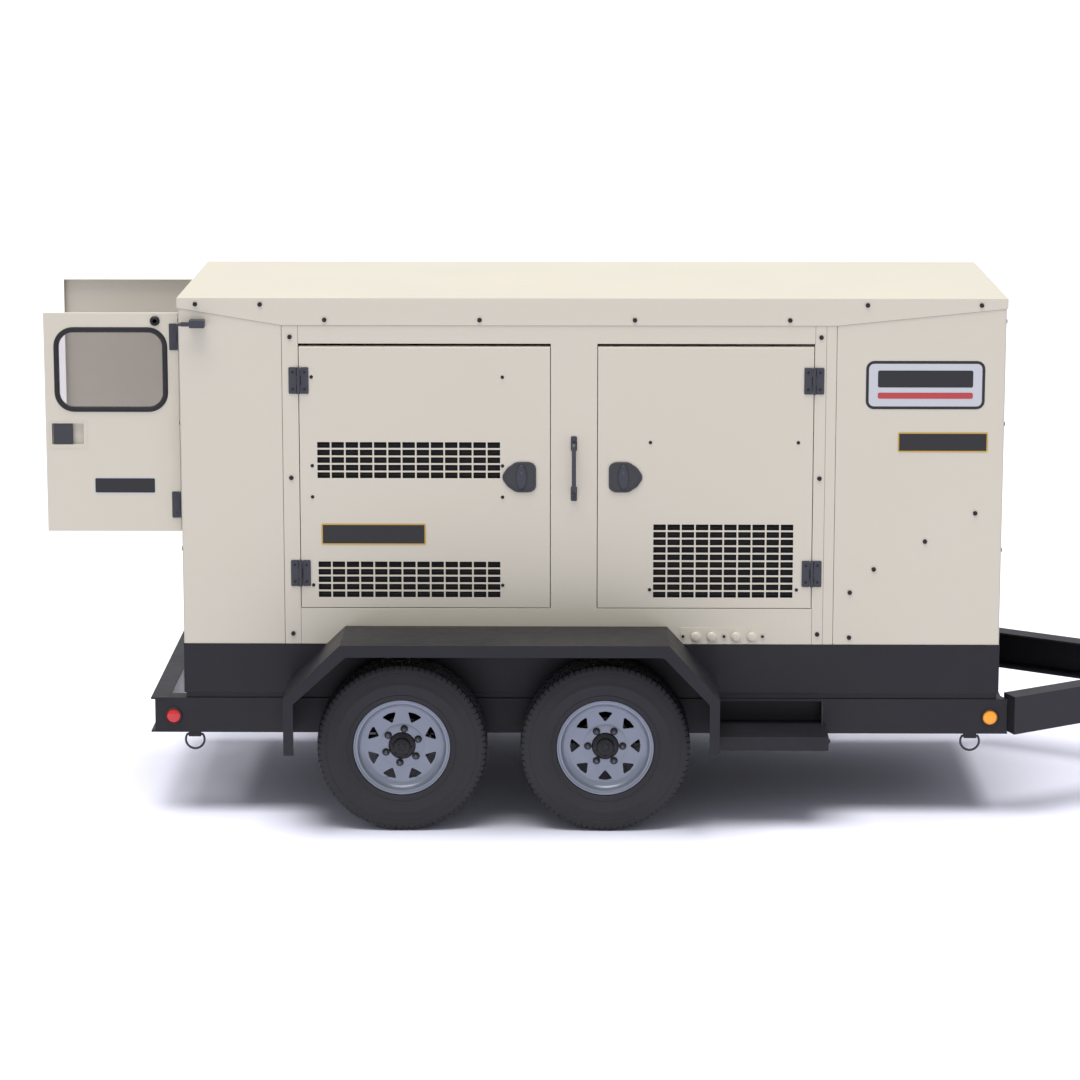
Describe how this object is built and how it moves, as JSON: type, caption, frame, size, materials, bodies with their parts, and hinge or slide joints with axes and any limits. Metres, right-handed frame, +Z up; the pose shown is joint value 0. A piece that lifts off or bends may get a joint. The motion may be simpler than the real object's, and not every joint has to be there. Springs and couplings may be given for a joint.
{
  "type": "towable diesel generator",
  "caption": "Sound-attenuated diesel generator canopy on a tandem-axle trailer, with hinged service doors, rear control doors, a tongue jack and a tow eye.",
  "frame": {"origin": "on the ground, below the middle of the whole outline with the rear doors standing open", "axes": "+X towards the tow eye, +Y to the left-hand side, +Z up"},
  "size_m": [5.3739, 2.11, 2.233],
  "materials": {
    "frame_charcoal": "satin powder coat",
    "canopy_cream": "satin powder coat",
    "wheel_silver": "satin silver paint",
    "tyre_rubber": "matte",
    "hinge_slate": "satin",
    "latch_black": "satin black",
    "plated_steel": "zinc plated",
    "lens_red": "clear gloss",
    "lens_amber": "clear gloss",
    "window_glass": "tinted clear",
    "seal_rubber": "matte",
    "engine_casting": "painted",
    "alternator_paint": "satin",
    "radiator_aluminium": "matte",
    "fan_plastic": "matte",
    "cabinet_paint": "satin",
    "fascia_plastic": "matte",
    "button_red": "gloss"
  },
  "bodies": {
    "chassis": {"frame_rails": "frame_charcoal", "frame_crossmembers": "frame_charcoal", "tongue_beams": "frame_charcoal", "tow_eye": "frame_charcoal", "jack_tube": "frame_charcoal", "axles": "frame_charcoal", "leaf_springs": "frame_charcoal", "fenders": "frame_charcoal", "side_steps": "frame_charcoal", "red_lenses": "lens_red", "amber_lenses": "lens_amber", "base_tank": "frame_charcoal", "side_frame_right": "canopy_cream", "side_frame_left": "canopy_cream", "corner_panels": "canopy_cream", "roof": "canopy_cream", "front_end_panel": "canopy_cream", "rear_frame": "canopy_cream", "gland_strip": "hinge_slate", "grab_handles": "hinge_slate", "fixed_hinge_leaves": "hinge_slate", "holdback_catches": "plated_steel", "canopy_screws": "latch_black", "engine_block": "engine_casting", "alternator": "alternator_paint", "radiator": "radiator_aluminium", "muffler": "alternator_paint", "battery": "fan_plastic", "control_cabinet": "cabinet_paint", "control_fascia": "fascia_plastic"},
    "wheel_rear_right": {"tyre_rear_right": "tyre_rubber", "wheel_rear_right": "wheel_silver"},
    "service_door_rear_right": {"service_door_rear_right": "canopy_cream"},
    "door_latch_rear_right": {"door_latch_rear_right": "latch_black"},
    "lashing_ring_rear_right": {"lashing_ring_rear_right": "plated_steel"},
    "wheel_front_right": {"tyre_front_right": "tyre_rubber", "wheel_front_right": "wheel_silver"},
    "service_door_front_right": {"service_door_front_right": "canopy_cream"},
    "door_latch_front_right": {"door_latch_front_right": "latch_black"},
    "lashing_ring_front_right": {"lashing_ring_front_right": "plated_steel"},
    "wheel_rear_left": {"tyre_rear_left": "tyre_rubber", "wheel_rear_left": "wheel_silver"},
    "service_door_rear_left": {"service_door_rear_left": "canopy_cream"},
    "door_latch_rear_left": {"door_latch_rear_left": "latch_black"},
    "lashing_ring_rear_left": {"lashing_ring_rear_left": "plated_steel"},
    "wheel_front_left": {"tyre_front_left": "tyre_rubber", "wheel_front_left": "wheel_silver"},
    "service_door_front_left": {"service_door_front_left": "canopy_cream"},
    "door_latch_front_left": {"door_latch_front_left": "latch_black"},
    "lashing_ring_front_left": {"lashing_ring_front_left": "plated_steel"},
    "rear_door_right": {"rear_door_right": "canopy_cream", "rear_window_seal": "seal_rubber", "rear_window_glass": "window_glass"},
    "rear_door_left": {"rear_door_left": "canopy_cream"},
    "rear_latch": {"rear_latch": "latch_black"},
    "jack_leg": {"jack_leg": "plated_steel"},
    "jack_crank": {"jack_crank": "latch_black"},
    "radiator_fan": {"radiator_fan": "fan_plastic"},
    "estop_button": {"estop_button": "button_red"},
    "breaker_handle": {"breaker_handle": "latch_black"}
  },
  "joints": [
    {"name": "wheel_rear_right_spin", "type": "hinge", "parent": "chassis", "child": "wheel_rear_right", "pos_m": [-1.0945, -0.8445, 0.3595], "axis": [0, 1, 0], "continuous": true},
    {"name": "service_door_rear_right_hinge", "type": "hinge", "parent": "chassis", "child": "service_door_rear_right", "pos_m": [-1.5305, -0.677, 1.473], "axis": [0, 0, -1], "range_deg": [0, 110]},
    {"name": "door_latch_rear_right_turn", "type": "hinge", "parent": "service_door_rear_right", "child": "door_latch_rear_right", "pos_m": [-0.5915, -0.678, 1.4725], "axis": [0, 1, 0], "range_deg": [0, 90]},
    {"name": "lashing_ring_rear_right_swing", "type": "hinge", "parent": "chassis", "child": "lashing_ring_rear_right", "pos_m": [-1.995, -0.658, 0.348], "axis": [1, 0, 0], "range_deg": [-80, 80]},
    {"name": "wheel_front_right_spin", "type": "hinge", "parent": "chassis", "child": "wheel_front_right", "pos_m": [-0.2355, -0.8445, 0.3595], "axis": [0, 1, 0], "continuous": true},
    {"name": "service_door_front_right_hinge", "type": "hinge", "parent": "chassis", "child": "service_door_front_right", "pos_m": [0.6405, -0.677, 1.473], "axis": [0, 0, 1], "range_deg": [0, 110]},
    {"name": "door_latch_front_right_turn", "type": "hinge", "parent": "service_door_front_right", "child": "door_latch_front_right", "pos_m": [-0.161, -0.678, 1.4725], "axis": [0, 1, 0], "range_deg": [0, 90]},
    {"name": "lashing_ring_front_right_swing", "type": "hinge", "parent": "chassis", "child": "lashing_ring_front_right", "pos_m": [1.329, -0.658, 0.348], "axis": [1, 0, 0], "range_deg": [-80, 80]},
    {"name": "wheel_rear_left_spin", "type": "hinge", "parent": "chassis", "child": "wheel_rear_left", "pos_m": [-1.0945, 0.8445, 0.3595], "axis": [0, 1, 0], "continuous": true},
    {"name": "service_door_rear_left_hinge", "type": "hinge", "parent": "chassis", "child": "service_door_rear_left", "pos_m": [-1.5305, 0.677, 1.473], "axis": [0, 0, 1], "range_deg": [0, 110]},
    {"name": "door_latch_rear_left_turn", "type": "hinge", "parent": "service_door_rear_left", "child": "door_latch_rear_left", "pos_m": [-0.5915, 0.678, 1.4725], "axis": [0, 1, 0], "range_deg": [0, 90]},
    {"name": "lashing_ring_rear_left_swing", "type": "hinge", "parent": "chassis", "child": "lashing_ring_rear_left", "pos_m": [-1.995, 0.658, 0.348], "axis": [1, 0, 0], "range_deg": [-80, 80]},
    {"name": "wheel_front_left_spin", "type": "hinge", "parent": "chassis", "child": "wheel_front_left", "pos_m": [-0.2355, 0.8445, 0.3595], "axis": [0, 1, 0], "continuous": true},
    {"name": "service_door_front_left_hinge", "type": "hinge", "parent": "chassis", "child": "service_door_front_left", "pos_m": [0.6405, 0.677, 1.473], "axis": [0, 0, -1], "range_deg": [0, 110]},
    {"name": "door_latch_front_left_turn", "type": "hinge", "parent": "service_door_front_left", "child": "door_latch_front_left", "pos_m": [-0.161, 0.678, 1.4725], "axis": [0, 1, 0], "range_deg": [0, 90]},
    {"name": "lashing_ring_front_left_swing", "type": "hinge", "parent": "chassis", "child": "lashing_ring_front_left", "pos_m": [1.329, 0.658, 0.348], "axis": [1, 0, 0], "range_deg": [-80, 80]},
    {"name": "rear_door_right_hinge", "type": "hinge", "parent": "chassis", "child": "rear_door_right", "pos_m": [-2.039, -0.612, 1.69], "axis": [0, 0, 1], "range_deg": [-90, 90]},
    {"name": "rear_door_left_hinge", "type": "hinge", "parent": "chassis", "child": "rear_door_left", "pos_m": [-2.039, 0.612, 1.69], "axis": [0, 0, -1], "range_deg": [-90, 90]},
    {"name": "rear_latch_lift", "type": "hinge", "parent": "rear_door_right", "child": "rear_latch", "pos_m": [-2.573, -0.599, 1.6445], "axis": [0, 0, -1], "range_deg": [0, 35], "stiffness_Nm_per_rad": 1.5},
    {"name": "jack_leg_slide", "type": "slide", "parent": "chassis", "child": "jack_leg", "axis": [0, 0, 1], "range_m": [0, 0.33]},
    {"name": "jack_crank_turn", "type": "hinge", "parent": "chassis", "child": "jack_crank", "pos_m": [2.185, -0.08, 1.025], "axis": [0, 1, 0], "range_deg": [0, 10620]},
    {"name": "radiator_fan_spin", "type": "hinge", "parent": "chassis", "child": "radiator_fan", "pos_m": [0.67, 0, 1.09], "axis": [1, 0, 0], "continuous": true},
    {"name": "estop_press", "type": "slide", "parent": "chassis", "child": "estop_button", "axis": [1, 0, 0], "range_m": [0, 0.006]},
    {"name": "breaker_throw", "type": "hinge", "parent": "chassis", "child": "breaker_handle", "pos_m": [-1.855, -0.02, 1.45], "axis": [0, -1, 0], "range_deg": [0, 50]}
  ],
  "couplings": [
    {"joint": "jack_leg_slide", "follows": "jack_crank_turn", "m_per_rad": 0.00178}
  ]
}
